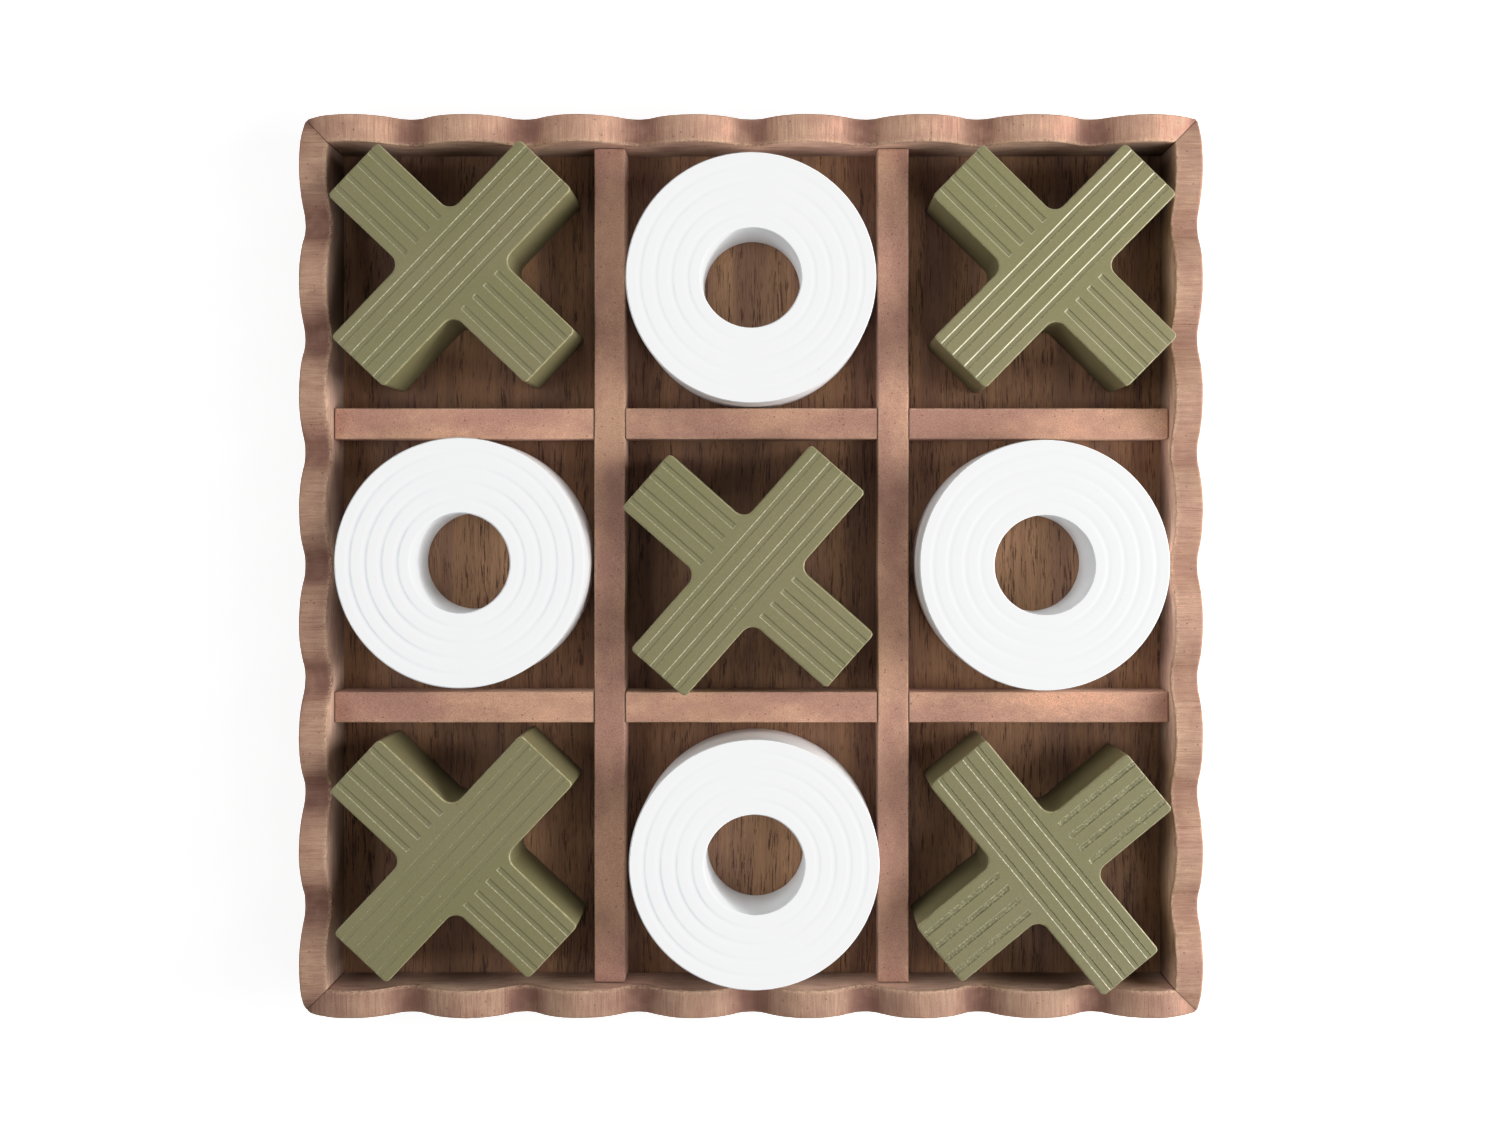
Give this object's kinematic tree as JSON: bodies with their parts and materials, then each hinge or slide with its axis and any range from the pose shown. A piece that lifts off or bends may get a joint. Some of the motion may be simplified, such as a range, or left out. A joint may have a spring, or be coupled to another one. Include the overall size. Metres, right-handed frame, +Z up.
{
  "type": "tic tac toe set",
  "caption": "Square wooden tray with a scalloped rim and strip-divided cells, holding loose chunky grooved crosses and rings as counters.",
  "frame": {"origin": "middle of the tray's underside, on the table", "axes": "+Z up, +Y towards the rear side board, +X to the right"},
  "size_m": [0.3048, 0.3048, 0.0344],
  "materials": {
    "stained_wood": "pinkish tan stain, mottled, satin",
    "veneered_panel": "open-pored brown veneer on plywood, matte",
    "olive_paint": "olive green satin paint on fibreboard, edges rubbed",
    "white_paint": "white matte paint on fibreboard",
    "brad_steel": "bright drawn wire"
  },
  "bodies": {
    "tray": {"base_panel": "veneered_panel", "wall_front": "stained_wood", "wall_rear": "stained_wood", "wall_left": "stained_wood", "wall_right": "stained_wood", "divider_left": "stained_wood", "divider_right": "stained_wood", "divider_front": "stained_wood", "divider_rear": "stained_wood", "corner_brads": "brad_steel", "base_brads": "brad_steel"},
    "x_rear_left": {"x_rear_left": "olive_paint"},
    "x_rear_right": {"x_rear_right": "olive_paint"},
    "x_centre": {"x_centre": "olive_paint"},
    "x_front_left": {"x_front_left": "olive_paint"},
    "x_front_right": {"x_front_right": "olive_paint"},
    "o_rear_centre": {"o_rear_centre": "white_paint"},
    "o_mid_left": {"o_mid_left": "white_paint"},
    "o_mid_right": {"o_mid_right": "white_paint"},
    "o_front_centre": {"o_front_centre": "white_paint"}
  },
  "joints": [
    {"name": "lift_x_rear_left", "type": "slide", "parent": "tray", "child": "x_rear_left", "axis": [0, 0, 1], "range_m": [0, 0.05]},
    {"name": "lift_x_rear_right", "type": "slide", "parent": "tray", "child": "x_rear_right", "axis": [0, 0, 1], "range_m": [0, 0.05]},
    {"name": "lift_x_centre", "type": "slide", "parent": "tray", "child": "x_centre", "axis": [0, 0, 1], "range_m": [0, 0.05]},
    {"name": "lift_x_front_left", "type": "slide", "parent": "tray", "child": "x_front_left", "axis": [0, 0, 1], "range_m": [0, 0.05]},
    {"name": "lift_x_front_right", "type": "slide", "parent": "tray", "child": "x_front_right", "axis": [0, 0, 1], "range_m": [0, 0.05]},
    {"name": "lift_o_rear_centre", "type": "slide", "parent": "tray", "child": "o_rear_centre", "axis": [0, 0, 1], "range_m": [0, 0.05]},
    {"name": "lift_o_mid_left", "type": "slide", "parent": "tray", "child": "o_mid_left", "axis": [0, 0, 1], "range_m": [0, 0.05]},
    {"name": "lift_o_mid_right", "type": "slide", "parent": "tray", "child": "o_mid_right", "axis": [0, 0, 1], "range_m": [0, 0.05]},
    {"name": "lift_o_front_centre", "type": "slide", "parent": "tray", "child": "o_front_centre", "axis": [0, 0, 1], "range_m": [0, 0.05]}
  ]
}
